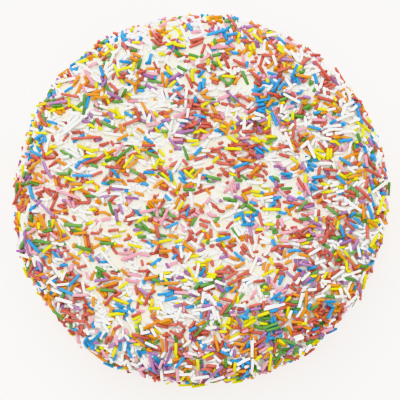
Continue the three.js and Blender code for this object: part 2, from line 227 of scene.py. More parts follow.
# Sprinkles that stand out in the photo: their middle across and down and their length, in
# pixels, and how steeply they rise to the right, in degrees. They are laid last, on top.
STANDOUT = {
    "red": (
        (73, 98, 18, -10), (47, 122, 13, -52), (113, 88, 14, -46), (230, 26, 15, -59),
        (238, 64, 14, -33), (255, 76, 14, -47), (245, 99, 13, -30), (203, 110, 13, -13),
        (137, 115, 14, -70), (284, 69, 15, 21), (318, 76, 26, -47), (338, 77, 19, -49),
        (324, 101, 16, -20), (360, 126, 16, -43), (86, 138, 30, 5), (92, 161, 17, 19),
        (23, 196, 19, 57), (39, 158, 12, -26), (115, 167, 17, -3), (131, 123, 17, 18),
        (222, 163, 14, -12), (157, 230, 14, -78), (175, 288, 15, -13), (222, 271, 16, -12),
        (230, 276, 15, 25), (234, 280, 15, 28), (243, 279, 13, 45), (224, 309, 15, 60),
        (142, 336, 19, -12), (176, 333, 15, -28), (147, 300, 14, 62), (41, 274, 15, -25),
        (77, 317, 20, -5), (73, 311, 14, -28), (259, 341, 15, 32), (287, 302, 15, -15),
        (309, 354, 13, 62), (324, 239, 14, 48), (330, 171, 15, -12), (301, 184, 15, -60),
        (349, 225, 13, -42), (362, 231, 14, 88), (82, 202, 16, 8), (180, 95, 11, -48),
        (184, 101, 12, 5), (177, 105, 8, -30), (193, 105, 13, 80), (165, 112, 7, -40),
        (149, 146, 14, 2), (206, 124, 10, -5), (205, 127, 10, -8), (194, 125, 9, 28),
        (181, 323, 10, -38), (174, 324, 8, 12), (192, 324, 9, 45), (207, 331, 9, 12),
        (205, 314, 10, 75), (309, 250, 9, 30), (324, 253, 9, 3), (349, 262, 13, -50),
        (296, 276, 11, 55), (295, 267, 9, 80), (306, 295, 11, 18), (318, 286, 8, 85),
        (339, 303, 10, 55), (356, 293, 10, 50), (354, 284, 7, 60), (255, 305, 12, 12),
        (263, 304, 8, 85), (241, 309, 8, 25), (283, 308, 11, 13), (297, 325, 10, 18),
        (274, 345, 11, 79), (289, 341, 10, 45), (257, 95, 11, 2), (268, 95, 8, 37),
        (252, 111, 11, 33), (267, 133, 8, 12), (248, 132, 13, 4), (235, 133, 11, 22),
        (240, 145, 14, 2), (250, 147, 15, 15), (252, 154, 9, -42), (276, 97, 9, -42),
        (294, 125, 10, -88), (292, 135, 10, -88), (299, 139, 12, 88), (287, 124, 7, 20),
        (292, 95, 7, -65),
    ),
    "orange": (
        (66, 75, 13, 24), (102, 99, 14, -2), (145, 108, 14, -58), (286, 73, 16, 37),
        (281, 58, 11, 34), (302, 78, 16, -6), (123, 138, 13, 27), (38, 165, 18, 24),
        (117, 181, 14, -2), (245, 160, 17, -9), (159, 199, 12, 0), (81, 233, 14, 8),
        (103, 239, 17, -6), (151, 276, 14, 14), (170, 283, 19, 1), (166, 249, 13, 7),
        (152, 324, 18, 32), (164, 320, 12, 8), (168, 340, 14, 88), (217, 342, 17, -70),
        (119, 279, 9, -12), (81, 340, 13, -52), (280, 320, 18, -38), (303, 312, 13, 68),
        (329, 319, 14, 3), (359, 210, 16, -87), (336, 200, 18, 12), (366, 223, 13, -30),
        (330, 283, 12, 50), (304, 256, 12, -18), (94, 301, 10, 90), (302, 303, 11, 0),
        (141, 131, 9, -30), (168, 116, 7, -10), (144, 150, 8, -3), (204, 94, 9, 30),
        (207, 98, 9, -15), (201, 323, 10, 25), (339, 255, 12, -55), (336, 265, 7, 40),
        (315, 286, 9, 70), (317, 299, 8, -70), (305, 308, 7, 70), (296, 319, 10, 0),
        (296, 322, 9, 15), (275, 359, 13, 53), (265, 352, 8, 37), (239, 344, 11, -11),
        (226, 336, 6, 42), (243, 363, 7, -38), (295, 332, 7, 18), (262, 98, 7, 7),
        (269, 104, 9, 55), (251, 117, 8, 12), (264, 124, 7, 20), (277, 115, 9, -52),
        (274, 149, 9, -16), (304, 135, 6, 20), (293, 148, 7, -68), (304, 103, 6, -55),
    ),
    "yellow": (
        (46, 108, 15, 8), (86, 65, 13, 12), (171, 46, 11, 15), (180, 47, 12, -4),
        (219, 63, 12, -62), (228, 76, 14, -3), (257, 42, 14, -40), (268, 122, 13, 82),
        (118, 114, 12, -61), (86, 149, 18, -22), (91, 157, 14, 16), (70, 179, 12, -20),
        (78, 189, 13, 9), (128, 162, 17, 50), (157, 165, 13, 68), (188, 175, 13, -41),
        (193, 142, 12, -2), (233, 149, 17, -2), (272, 208, 18, 0), (327, 154, 12, 88),
        (330, 154, 11, 88), (329, 198, 21, 12), (374, 205, 19, 68), (367, 238, 14, 60),
        (51, 248, 12, 41), (136, 246, 15, -16), (164, 241, 13, 10), (124, 284, 11, 35),
        (121, 300, 17, -20), (154, 308, 13, 2), (212, 274, 11, -5), (167, 365, 12, 18),
        (176, 348, 12, 90), (186, 382, 14, -12), (199, 384, 16, -10), (237, 379, 11, 0),
        (360, 279, 16, 85), (28, 272, 12, -72), (268, 358, 15, 80), (198, 362, 11, -87),
        (138, 151, 11, -55), (162, 154, 9, -50), (206, 104, 10, 30), (203, 131, 10, -20),
        (196, 132, 8, 10), (195, 144, 9, 10), (184, 279, 7, 15), (196, 280, 7, -30),
        (211, 276, 10, -8), (152, 302, 8, 85), (169, 329, 8, 38), (223, 331, 8, 0),
        (324, 274, 8, 52), (312, 277, 8, 20), (306, 298, 7, 12), (341, 247, 7, 8),
        (347, 270, 4, 0), (264, 314, 12, 18), (287, 311, 12, 82), (268, 347, 7, 28),
        (258, 353, 8, 38), (229, 320, 7, 80), (227, 325, 9, -30), (234, 364, 10, 84),
        (281, 339, 8, -35), (270, 137, 11, 0), (255, 138, 8, 5), (257, 140, 7, -18),
        (282, 104, 6, -8), (292, 116, 9, 88),
    ),
    "green": (
        (61, 109, 10, 6), (118, 102, 11, 4), (155, 82, 14, -16), (178, 54, 10, -40),
        (224, 81, 14, -40), (245, 78, 16, -65), (182, 69, 11, -27), (22, 190, 15, 68),
        (64, 175, 13, -3), (74, 225, 19, -4), (108, 243, 14, -2), (84, 248, 17, -16),
        (46, 243, 16, -9), (185, 153, 15, -74), (153, 155, 14, -25), (147, 228, 15, -44),
        (189, 190, 12, -3), (286, 189, 13, -5), (332, 210, 15, -42), (302, 206, 15, 48),
        (385, 189, 14, -65), (207, 284, 15, 12), (108, 290, 15, -3), (203, 327, 22, 40),
        (63, 311, 13, -40), (276, 354, 16, 60), (293, 346, 12, 85), (262, 330, 17, 15),
        (270, 325, 16, 20), (273, 328, 15, 17), (348, 277, 11, -20), (353, 139, 9, -72),
        (165, 132, 7, 5), (186, 296, 8, 5), (156, 280, 9, -15), (197, 286, 8, 50),
        (223, 294, 8, 50), (197, 302, 6, 35), (217, 322, 8, -40), (331, 255, 8, -50),
        (338, 259, 6, 8), (349, 252, 8, 15), (329, 295, 9, -12), (314, 306, 9, 35),
        (352, 301, 10, 68), (360, 264, 8, 0), (320, 283, 4, 0), (229, 308, 11, 52),
        (267, 318, 8, -8), (257, 362, 13, 87), (226, 360, 9, -80), (227, 367, 10, 40),
        (233, 100, 7, -48), (283, 100, 8, 23), (303, 140, 5, 50), (306, 107, 8, 25),
    ),
    "blue": (
        (216, 36, 22, 14), (232, 38, 11, 2), (228, 43, 9, 24), (79, 65, 14, 28),
        (55, 124, 10, -14), (82, 175, 20, -1), (41, 140, 9, 38), (293, 73, 15, 65),
        (276, 86, 16, 61), (280, 88, 9, 52), (274, 119, 15, -68), (314, 128, 13, -17),
        (344, 141, 14, 7), (343, 162, 14, -35), (318, 177, 14, 5), (286, 174, 13, -3),
        (340, 180, 13, -45), (365, 212, 15, -75), (342, 230, 13, -72), (313, 186, 11, -45),
        (200, 116, 13, -5), (201, 73, 10, 50), (147, 171, 11, 0), (184, 177, 8, -50),
        (259, 151, 11, -35), (172, 225, 14, 25), (248, 226, 14, 0), (224, 238, 15, 17),
        (74, 279, 17, 42), (172, 298, 13, 18), (275, 295, 13, 38), (279, 279, 11, 75),
        (275, 329, 12, 50), (245, 370, 12, 62), (180, 359, 13, 55), (330, 329, 12, 45),
        (327, 311, 11, 55), (131, 350, 10, -62), (111, 360, 12, 0), (124, 309, 11, -3),
        (161, 126, 9, 35), (198, 152, 11, 52), (169, 293, 10, 22), (190, 306, 9, 3),
        (219, 305, 7, -12), (202, 315, 6, 80), (193, 329, 9, 32), (299, 270, 6, -20),
        (328, 299, 11, -8), (309, 306, 7, 75), (366, 249, 8, -35), (245, 316, 10, -7),
        (274, 310, 8, 12), (266, 332, 7, 3), (271, 337, 7, 5), (247, 345, 9, 70),
        (225, 352, 11, -28), (262, 101, 15, 10), (261, 104, 7, 8), (262, 110, 8, -18),
        (270, 109, 5, 70), (264, 150, 8, -30), (295, 106, 5, -38), (300, 111, 7, -5),
    ),
    "purple": (
        (63, 106, 19, 8), (114, 96, 16, -22), (149, 77, 12, -19), (186, 132, 19, 5),
        (49, 210, 18, -44), (119, 190, 12, -8), (132, 198, 14, -5), (364, 144, 10, -65),
        (315, 224, 14, -25), (308, 206, 12, 2), (344, 242, 14, 22), (353, 243, 13, 68),
        (304, 264, 14, -18), (102, 279, 15, 10), (304, 280, 14, 45), (220, 287, 12, -48),
        (210, 349, 11, 2), (153, 359, 17, -72), (217, 368, 18, 45), (238, 320, 12, -55),
        (183, 127, 7, 0), (167, 120, 12, 8), (172, 143, 13, -48), (194, 295, 9, -20),
        (178, 305, 9, 8), (187, 272, 9, -20), (180, 277, 8, 10), (206, 305, 10, 12),
        (209, 314, 10, 85), (216, 329, 7, 3), (303, 272, 8, 50), (313, 284, 7, 65),
        (361, 253, 10, -65), (232, 311, 7, 27), (242, 312, 8, 18), (256, 308, 11, 10),
        (279, 332, 9, 16), (246, 338, 10, 40), (287, 347, 9, 34), (261, 345, 9, 20),
        (236, 99, 8, -47), (262, 121, 9, 25), (277, 120, 12, -68), (259, 131, 9, -52),
        (250, 122, 7, -15), (306, 98, 8, -15),
    ),
    "pink": (
        (91, 80, 16, -58), (153, 125, 14, 12), (180, 115, 14, 24), (220, 48, 17, 11),
        (317, 121, 14, -3), (71, 195, 24, -20), (164, 216, 18, 66), (339, 167, 12, -65),
        (362, 162, 12, -85), (307, 189, 14, -65), (130, 256, 18, 26), (81, 294, 16, 5),
        (182, 292, 15, -5), (285, 232, 13, 10), (109, 348, 10, -50), (178, 369, 14, -85),
        (324, 327, 12, 20), (263, 360, 12, 65), (153, 115, 12, -65), (204, 137, 11, 32),
        (178, 140, 10, 3), (184, 309, 6, 85), (343, 307, 8, 40), (262, 347, 10, 30),
        (232, 353, 10, -28), (245, 329, 7, 22), (233, 314, 6, 0), (301, 129, 11, 15),
        (289, 107, 9, 22), (237, 153, 6, 3),
    ),
    "white": (
        (69, 85, 20, 7), (71, 123, 21, 40), (73, 127, 21, 40), (291, 99, 19, -29),
        (294, 90, 24, -43), (274, 39, 18, 19), (122, 187, 20, -6), (110, 260, 27, -49),
        (182, 252, 12, 90), (198, 181, 13, 87), (67, 298, 17, -12), (151, 345, 14, -25),
        (217, 375, 15, 28), (200, 373, 17, -3), (341, 210, 16, -33), (347, 298, 16, 45),
        (336, 274, 16, 28), (305, 160, 11, 17), (289, 142, 20, -70), (311, 151, 19, -70),
        (373, 188, 18, 35), (300, 300, 15, 75), (136, 98, 12, 0), (155, 92, 9, -35),
        (163, 96, 13, -75), (167, 95, 10, -72), (153, 104, 9, 38), (164, 106, 15, 12),
        (173, 107, 9, 10), (174, 97, 9, 42), (187, 94, 11, 88), (185, 105, 10, 85),
        (138, 108, 8, -70), (144, 114, 12, -70), (149, 119, 10, 75), (176, 128, 12, 60),
        (169, 126, 10, -50), (183, 121, 11, -10), (189, 113, 10, 87), (137, 136, 11, -45),
        (155, 135, 11, 0), (181, 136, 12, -3), (161, 145, 9, -2), (206, 143, 10, 55),
        (215, 134, 13, 10), (206, 151, 9, 0), (188, 148, 9, -35), (163, 277, 8, 88),
        (179, 273, 10, -30), (188, 283, 9, 2), (208, 279, 11, 2), (219, 282, 9, -25),
        (209, 287, 12, 20), (184, 287, 8, -15), (196, 293, 9, -25), (203, 297, 12, 80),
        (212, 299, 14, -55), (162, 306, 11, -70), (173, 311, 11, 28), (179, 313, 14, 73),
        (169, 316, 14, 8), (189, 316, 11, -15), (196, 313, 9, 5), (208, 307, 14, 18),
        (214, 313, 13, -78), (217, 316, 13, -75), (211, 327, 11, 5), (154, 332, 9, -60),
        (145, 332, 9, 15), (314, 251, 14, 30), (326, 259, 11, 10), (328, 247, 12, 2),
        (356, 251, 12, -75), (352, 260, 10, -50), (305, 276, 12, 45), (318, 271, 12, 70),
        (325, 281, 10, -5), (342, 282, 11, 15), (311, 263, 8, -20), (326, 303, 10, -5),
        (333, 290, 12, 85), (338, 291, 11, -75), (344, 290, 11, -60), (352, 275, 10, -30),
        (297, 281, 8, 60), (274, 306, 22, 15), (239, 305, 13, 5), (295, 307, 10, 2),
        (290, 313, 9, 72), (266, 341, 12, 0), (252, 347, 17, 85), (251, 361, 15, 88),
        (237, 361, 15, 86), (297, 335, 9, 22), (304, 344, 9, 52), (244, 124, 14, 86),
        (248, 127, 10, 45), (256, 119, 9, 3), (259, 114, 11, -15), (274, 124, 10, 84),
        (281, 110, 9, 85), (304, 145, 11, 42), (304, 113, 9, 53), (285, 119, 8, 37),
        (289, 127, 8, 52), (297, 347, 8, -85),
    ),
}


def srgb(red, green, blue):
    """A colour read off a screen, from 0 to 255, as the linear light that a shader takes."""
    def linear(value):
        value /= 255
        return value / 12.92 if value <= 0.04045 else ((value + 0.055) / 1.055) ** 2.4
    return tuple(linear(value) for value in (red, green, blue))


# ================= The frosting's surface =================

def relief(x, y, z):
    """How far the frosting stands out from its plain profile: the solid model's own rule."""
    out = np.zeros(np.shape(x))
    for height, length, way, phase in WAVES:
        turns = (x * way[0] + y * way[1] + z * way[2]) / length + phase
        out = out + height * np.sin(2 * np.pi * turns)
    outer = (np.hypot(x, y) / CAKE_RADIUS) ** SWELL_POWER
    for times, height, azimuth in SWELLS:
        turn = np.arctan2(y, x) - math.radians(azimuth)
        out = out + height * outer * np.cos(times * turn)
    return out


def profile_at(along):
    """Radius, height and outward direction at a walk from the middle of the top."""
    along = np.asarray(along, float)
    share = np.clip(along / TOP_RADIUS, 0, 1)
    slope = 2 * CROWN * share / TOP_RADIUS
    steep = np.hypot(1, slope)
    turn = np.clip((along - TOP_RADIUS) / SHOULDER_RADIUS, 0, math.pi / 2)
    height = np.maximum(PROFILE_LENGTH - along, 0)
    drop = np.clip(1 - height / SIDE_DEPTH, 0, 1)
    on_top, on_side = along <= TOP_RADIUS, along > TOP_RADIUS + SHOULDER_ARC
    radius = np.select(
        [on_top, on_side],
        [along, CAKE_RADIUS - FOOT_TUCK * drop ** 3],
        TOP_RADIUS + SHOULDER_RADIUS * np.sin(turn),
    )
    height = np.select(
        [on_top, on_side],
        [CAKE_HEIGHT + CROWN * (1 - share * share), height],
        SIDE_DEPTH + SHOULDER_RADIUS * np.cos(turn),
    )
    out = np.select([on_top, on_side], [slope / steep, np.ones_like(along)], np.sin(turn))
    up = np.select([on_top, on_side], [1 / steep, np.zeros_like(along)], np.cos(turn))
    return radius, height, out, up


def plain_surface(along, azimuth):
    """Points of the solid model's frosting, and the outward directions there."""
    radius, height, out, up = profile_at(along)
    c, s = np.cos(azimuth), np.sin(azimuth)
    normal = np.stack(np.broadcast_arrays(out * c, out * s, up), -1)
    point = np.stack(np.broadcast_arrays(radius * c, radius * s, height), -1)
    lift = relief(radius * c, radius * s, height)
    return point + normal * lift[..., None], normal


def lattice_noise(points, size, seed):
    """Smooth random lumps of one size, from -1 to 1, from a seeded lattice of values."""
    lattice = np.random.default_rng(seed).uniform(-1, 1, (LATTICE, LATTICE, LATTICE))
    at = np.asarray(points) / size
    low = np.floor(at).astype(int)
    part = at - low
    part = part * part * (3 - 2 * part)
    total = np.zeros(at.shape[:-1])
    for corner in np.ndindex(2, 2, 2):
        index = (low + corner) % LATTICE
        weight = np.prod(np.where(corner, part, 1 - part), axis=-1)
        total += weight * lattice[index[..., 0], index[..., 1], index[..., 2]]
    return total


def spatula_marks(points):
    """The frosting's finer unevenness: soft lumps and shallow spatula strokes."""
    out = 0
    for height, size, along_x, seed in SPATULA_MARKS:
        out = out + height * lattice_noise(points * (along_x, 1.0, 1.0), size, seed)
    return out


def frosting_surface(along, azimuth):
    """Points of the frosting with its spatula marks, and the outward directions there."""
    point, normal = plain_surface(along, azimuth)
    return point + normal * spatula_marks(point)[..., None], normal


def walk_and_azimuth(points):
    """Where points near the surface lie on it."""
    radius = np.hypot(points[..., 0], points[..., 1])
    height = points[..., 2]
    turn = np.arctan2(radius - TOP_RADIUS, np.maximum(height - SIDE_DEPTH, TINY))
    along = np.select(
        [height <= SIDE_DEPTH, radius <= TOP_RADIUS],
        [PROFILE_LENGTH - height, radius],
        TOP_RADIUS + SHOULDER_RADIUS * turn,
    )
    return along, np.arctan2(points[..., 1], points[..., 0])


def area_to(along):
    """Area of the plain surface from the middle of the top to a walk."""
    along = np.asarray(along, float)
    top = np.minimum(along, TOP_RADIUS)
    turn = np.clip(along - TOP_RADIUS, 0, SHOULDER_ARC) / SHOULDER_RADIUS
    side = np.maximum(along - TOP_RADIUS - SHOULDER_ARC, 0)
    shoulder = TOP_RADIUS * turn + SHOULDER_RADIUS * (1 - np.cos(turn))
    return math.pi * (top * top + 2 * SHOULDER_RADIUS * shoulder + 2 * CAKE_RADIUS * side)


HALVINGS = 40


def walk_to_area(area):
    """The walk that takes in a given area, found by halving."""
    near, far = np.zeros_like(area), np.full_like(area, PROFILE_LENGTH)
    for _ in range(HALVINGS):
        middle = (near + far) / 2
        short = area_to(middle) < area
        near, far = np.where(short, middle, near), np.where(short, far, middle)
    return (near + far) / 2


# ================= Placing by the photo =================

def photo_pixel(points):
    """Where points show in the photo."""
    scale = FOCAL_PX / (CAMERA_HEIGHT - points[..., 2])
    x = CAKE_CENTRE_PX[0] + points[..., 0] * scale
    y = CAKE_CENTRE_PX[1] - points[..., 1] * scale
    return np.stack([x, y], -1)


SIGHT_ROUNDS = 20
FURTHEST_ROUND = 0.999  # how far out on the shoulder a pixel can be placed, in its radii


def under_pixel(across, down):
    """Walk and azimuth of the place that shows at a pixel, and millimetres to a pixel there."""
    height = CAKE_HEIGHT
    for _ in range(SIGHT_ROUNDS):
        scale = (CAMERA_HEIGHT - height) / FOCAL_PX
        x = (across - CAKE_CENTRE_PX[0]) * scale
        y = (CAKE_CENTRE_PX[1] - down) * scale
        past_top = (math.hypot(x, y) - TOP_RADIUS) / SHOULDER_RADIUS
        if past_top <= 0:
            walk = math.hypot(x, y)
        else:
            walk = TOP_RADIUS + SHOULDER_RADIUS * math.asin(min(past_top, FURTHEST_ROUND))
        height = float(profile_at(walk)[1])
    return walk, math.atan2(y, x), scale


def nearness(pixels, places):
    """How near pixels are to any of the places: 1 there, fading to 0 past a place's reach."""
    total = np.zeros(len(pixels))
    for across, down, *reach in places:
        away = ((pixels - (across, down)) ** 2).sum(-1)
        total += np.exp(-away / (reach[0] if reach else GATHERING_REACH) ** 2)
    return np.minimum(total, 1)


# ================= How the sprinkles lie =================

def large_sprinkles():
    """Walk, azimuth, heading, length and bow of each sprinkle that the solid model has."""
    state = LARGE_SEED

    def draw():
        nonlocal state
        state = state * DRAW_FACTOR % DRAW_MODULUS
        return state / DRAW_MODULUS

    whole = float(area_to(PROFILE_LENGTH))
    spacing = math.sqrt(whole / LARGE_SPRINKLES)
    shortest, longest = LARGE_LENGTHS
    rows = []
    for i in range(LARGE_SPRINKLES):
        even = float(walk_to_area(np.array(whole * (i + 0.5) / LARGE_SPRINKLES)))
        along = max(even + (draw() - 0.5) * 2 * SCATTER * spacing, LARGE_NEAREST)
        around = max(float(profile_at(even)[0]), spacing)
        stray = (draw() - 0.5) * 2 * SCATTER * spacing / around
        heading = draw() * math.pi
        size = draw()
        length = shortest + (longest - shortest) * size * size
        bow = (draw() - 0.5) * 2 * BEND_SHARE * length
        rise = abs(math.sin(heading)) * length * 0.5 + LARGE_THICK / 2
        along = min(along, PROFILE_LENGTH - FOOT_CLEARANCE - rise)
        rows.append((along, i * GOLDEN_ANGLE + stray, heading, length, bow))
    return np.array(rows).T


def strewn_places(rng, count):
    """Walks and azimuths of strewn sprinkles, thickest round the rim and in the heaps."""
    whole = float(area_to(PROFILE_LENGTH - SMALL_FOOT_CLEARANCE))
    along = walk_to_area(rng.uniform(0, whole, count * DRAWN_FOR_ONE))
    azimuth = rng.uniform(-math.pi, math.pi, len(along))
    rim = np.clip((along - RIM_START * TOP_RADIUS) / (RIM_CHANGE * TOP_RADIUS), 0, 1)
    side = np.clip((along - TOP_RADIUS - 0.5 * SHOULDER_ARC) / SHOULDER_ARC, 0, 1)
    density = 1 + (RIM_DENSITY - 1) * rim + (SIDE_DENSITY - RIM_DENSITY) * side
    pixels = photo_pixel(plain_surface(along, azimuth)[0])
    density *= 1 + MORE_IN_HEAPS * nearness(pixels, HEAPED_PLACES)
    keep = rng.uniform(0, density.max(), len(along)) < density
    return along[keep][:count], azimuth[keep][:count]


def small_sprinkles(rng, count):
    """Walk, azimuth, heading, length and bow of each strewn sprinkle, and its pair's number."""
    along, azimuth = strewn_places(rng, count)
    flat = np.clip((LEVEL_END - along / TOP_RADIUS) * LEVEL_FADE, 0, 1)
    level = azimuth + math.pi / 2 + rng.normal(LEVEL_TILT, LEVEL_SPREAD, len(along))
    heading = np.where(rng.uniform(0, 1, len(along)) < LEVEL_SHARE * flat, level,
                       rng.uniform(0, math.pi, len(along)))
    length = SHORTEST + rng.gamma(LENGTH_SHAPE, LENGTH_SCALE, len(along))
    length = np.minimum(length, LONGEST)
    stub = rng.uniform(0, 1, len(along)) < STUB_SHARE
    length = np.where(stub, rng.uniform(*STUB_LENGTHS, len(along)), length)
    curled = rng.uniform(0, 1, len(along)) < CURLED_SHARE
    most_bowed = np.where(curled, CURLED_BOW, USUAL_BOW) * (length > STRAIGHT_LENGTH)
    bow = length * rng.normal(0, 1, len(along)) * most_bowed
    pair = np.arange(len(along))
    for i in np.flatnonzero(rng.uniform(0, 1, len(along)) < PAIRED):
        if i == 0:
            continue
        pair[i] = pair[i - 1]
        heading[i] = heading[i - 1] + rng.normal(0, PAIR_TURN)
        beside = LARGE_THICK * rng.choice((-1, 1)) * PAIR_GAP
        slide = rng.normal(0, PAIR_SLIDE) * length[i - 1]
        c, s = math.cos(heading[i - 1]), math.sin(heading[i - 1])
        along[i] = max(along[i - 1] - beside * c + slide * s, SMALL_NEAREST)
        ring = max(float(profile_at(along[i])[0]), SMALLEST_PAIR_RING)
        azimuth[i] = azimuth[i - 1] + (beside * s + slide * c) / ring
        length[i] = length[i - 1] * rng.uniform(*PAIR_LENGTHS)
    return np.array([along, azimuth, heading, length, bow]), pair


def standout_sprinkles():
    """The same measures of the sprinkles that stand out in the photo, and their colours."""
    rows, names = [], []
    for name, marks in STANDOUT.items():
        for across, down, length_px, tilt in marks:
            walk, azimuth, scale = under_pixel(across, down)
            turn = azimuth - math.radians(tilt)
            outward = math.cos(turn) / max(float(profile_at(walk)[3]), LEAST_UP)
            around = -math.sin(turn)
            heading = math.atan2(outward, around)
            length = length_px * scale * min(math.hypot(outward, around), MOST_STRETCHED)
            rows.append((walk, azimuth, heading, length, 0))
            names.append(name)
    return np.array(rows).T, names


def frames_at(along, azimuth, heading):
    """Middle, own direction, way across and way out of sprinkles lying on the surface."""
    point, normal = plain_surface(along, azimuth)
    zero = np.zeros_like(azimuth)
    round_ = np.stack([-np.sin(azimuth), np.cos(azimuth), zero], -1)
    down = np.cross(round_, normal)
    axis = round_ * np.cos(heading)[..., None] + down * np.sin(heading)[..., None]
    return point, axis, np.cross(normal, axis), normal


# ================= Laying the coat =================

SPOTS = np.linspace(-1, 1, BALLS)

# What is known of each sprinkle once it is laid: its middle, its own direction and the way out,
# its length, half its thickness, its bow, its height above the frosting, and the number that it
# shares with the one it lies close beside, if any.
Coat = namedtuple("Coat", "centre own out length radius bow height pair")


class Heap:
    """The sprinkles laid so far, as balls filed by the patch of frosting they are over."""

    PATCH = 2.3  # wide enough that balls which touch are over neighbouring patches
    MOST_BALLS = 200_000

    def __init__(self):
        self.patches = {}
        self.balls = np.zeros((self.MOST_BALLS, 3))
        self.radius = np.zeros(self.MOST_BALLS)
        self.count = 0

    def patch_of(self, feet):
        return np.floor(feet / self.PATCH).astype(int)

    def near(self, feet):
        """Numbers of the balls over the patches round some feet."""
        around = set()
        for x, y, z in {tuple(patch) for patch in self.patch_of(feet)}:
            for i in (x - 1, x, x + 1):
                for j in (y - 1, y, y + 1):
                    for k in (z - 1, z, z + 1):
                        around.update(self.patches.get((i, j, k), ()))
        return np.fromiter(around, int, len(around))

    def clearance(self, near, balls, radius, way_out):
        """How far out a sprinkle's balls have to move to clear those that are near."""
        gap = self.balls[near][None] - balls[:, None]
        height = gap @ way_out
        apart = (gap ** 2).sum(-1) - height ** 2
        touch = (radius + self.radius[near]) * LAID_SLACK
        reach_up = touch[None] ** 2 - apart
        over = height + np.sqrt(np.maximum(reach_up, 0))
        return np.where(reach_up > 0, over, -np.inf).max(1)

    def lay(self, balls, feet, radius):
        """Adds a sprinkle's balls, each to the patch that its foot is on."""
        for ball, patch in zip(balls, self.patch_of(feet)):
            self.balls[self.count], self.radius[self.count] = ball, radius
            self.patches.setdefault(tuple(patch), []).append(self.count)
            self.count += 1


def rest_on(spots, needed):
    """Height and slope of a straight rod that rests on what it needs to clear at its spots."""
    left, right = spots < -TINY, spots > TINY
    left_at, left_needs = spots[left], needed[left]
    right_at, right_needs = spots[right], needed[right]
    spans = right_at[None] - left_at[:, None]
    across = left_needs[:, None] * right_at[None] - right_needs[None] * left_at[:, None]
    across = across / spans
    middle = needed[~left & ~right].max(initial=-np.inf)
    i, j = np.unravel_index(across.argmax(), across.shape)
    if across[i, j] >= middle:
        return across[i, j], (right_needs[j] - left_needs[i]) / spans[i, j]
    # It rests on its middle, and tips to the nearer contact beside it.
    least = ((right_needs - middle) / right_at).max()
    most = ((left_needs - middle) / left_at).min()
    return middle, least if abs(least) < abs(most) else most


def lay_large_ones(heap):
    """Lays the solid model's own sprinkles where it has them."""
    along, azimuth, heading, length, bow = large_sprinkles()
    middle, axis, across, normal = frames_at(along, azimuth, heading)
    radius = LARGE_THICK / 2
    middle = middle + normal * LARGE_LIFT
    laid = []
    for i in range(len(along)):
        reach = length[i] / 2 - radius
        offset = bow[i] * (1 - SPOTS ** 2)
        balls = middle[i] + np.outer(SPOTS * reach, axis[i]) + np.outer(offset, across[i])
        heap.lay(balls, balls, radius)
        laid.append(Coat(middle[i], axis[i], normal[i], length[i], radius, bow[i], LARGE_LIFT,
                         -1 - i))
    return laid


def plan_drops(rng):
    """The strewn sprinkles, then those that stand out: how each may come to rest."""
    small, pair = small_sprinkles(rng, SMALL_SPRINKLES)
    along, azimuth, heading, length, bow = np.concatenate([small, standout_sprinkles()[0]], 1)
    strewn, count = len(pair), len(along)
    radius = rng.normal(HALF_THICK, HALF_THICK_SPREAD, count)
    radius = np.clip(radius, *HALF_THICK_LIMITS)
    sunk = rng.beta(*SUNK_SHAPE, count) * SUNK_DEEPEST
    past_top = np.clip((along - TOP_RADIUS) / SHOULDER_ARC, 0, 1)
    heaped = nearness(photo_pixel(plain_surface(along, azimuth)[0]), HEAPED_PLACES)
    highest = HIGHEST + (HIGHEST_IN_HEAPS - HIGHEST) * heaped
    highest += (HIGHEST_ON_SIDE - highest) * np.clip(past_top * 2 - 1, 0, 1)
    highest[strewn:] = HIGHEST_STANDOUT
    stuck_in = STUCK_IN * (1 + STUCK_MORE_AT_RIM * past_top) * (past_top < STUCK_UNTIL)
    stands = rng.uniform(0, 1, count) < stuck_in
    stands[strewn:] = False
    lean = np.where(stands, rng.uniform(*STUCK_SLOPES, count), 0)
    drops = SimpleNamespace(
        strewn=strewn,
        count=count,
        pair=np.concatenate([pair, np.arange(strewn, count)]),
        length=np.where(stands, np.minimum(length, STUCK_LONGEST), length),
        bow=bow,
        radius=radius,
        sunk=np.where(stands, STUCK_DEPTH, sunk),
        highest=highest,
        stands=stands,
        lean=lean,
    )
    add_tries(rng, drops, along, azimuth, heading)
    return drops


def add_tries(rng, drops, along, azimuth, heading):
    """Adds the places where each sprinkle is tried, and the balls along it at each."""
    stray = rng.normal(0, STRAY, (drops.count, TRIES, 2))
    turn = rng.normal(0, STRAY_TURN, (drops.count, TRIES))
    stray[:, 0], turn[:, 0] = 0, 0
    second = np.flatnonzero(drops.pair != np.arange(drops.count))
    stray[second] *= PAIR_STRAY[0]
    turn[second] *= PAIR_STRAY[1]
    stray[drops.strewn:] *= STANDOUT_STRAY[0]
    turn[drops.strewn:] *= STANDOUT_STRAY[1]
    turned = heading[:, None] + turn
    rise = np.abs(np.sin(turned)) * drops.length[:, None] / 2 + drops.radius[:, None]
    lowest = PROFILE_LENGTH - SMALL_FOOT_CLEARANCE - rise
    walks = np.clip(along[:, None] + stray[..., 0], SMALL_NEAREST, lowest)
    ring = np.maximum(profile_at(along)[0], SMALLEST_RING)[:, None]
    drops.middle, drops.axis, across, drops.normal = frames_at(
        walks, azimuth[:, None] + stray[..., 1] / ring, turned)
    drops.reach = (drops.length / 2 - drops.radius * END_BALL)[:, None, None]
    drops.run = SPOTS * drops.reach / np.hypot(1, drops.lean)[:, None, None]
    drops.offset = drops.bow[:, None, None] * (1 - SPOTS ** 2)
    drops.balls = (
        drops.middle[:, :, None]
        + drops.axis[:, :, None] * drops.run[..., None]
        + across[:, :, None] * drops.offset[..., None]
    )
    drops.feet = frosting_surface(*walk_and_azimuth(drops.balls))[0]
    drops.bare = ((drops.feet - drops.balls) * drops.normal[:, :, None]).sum(-1)


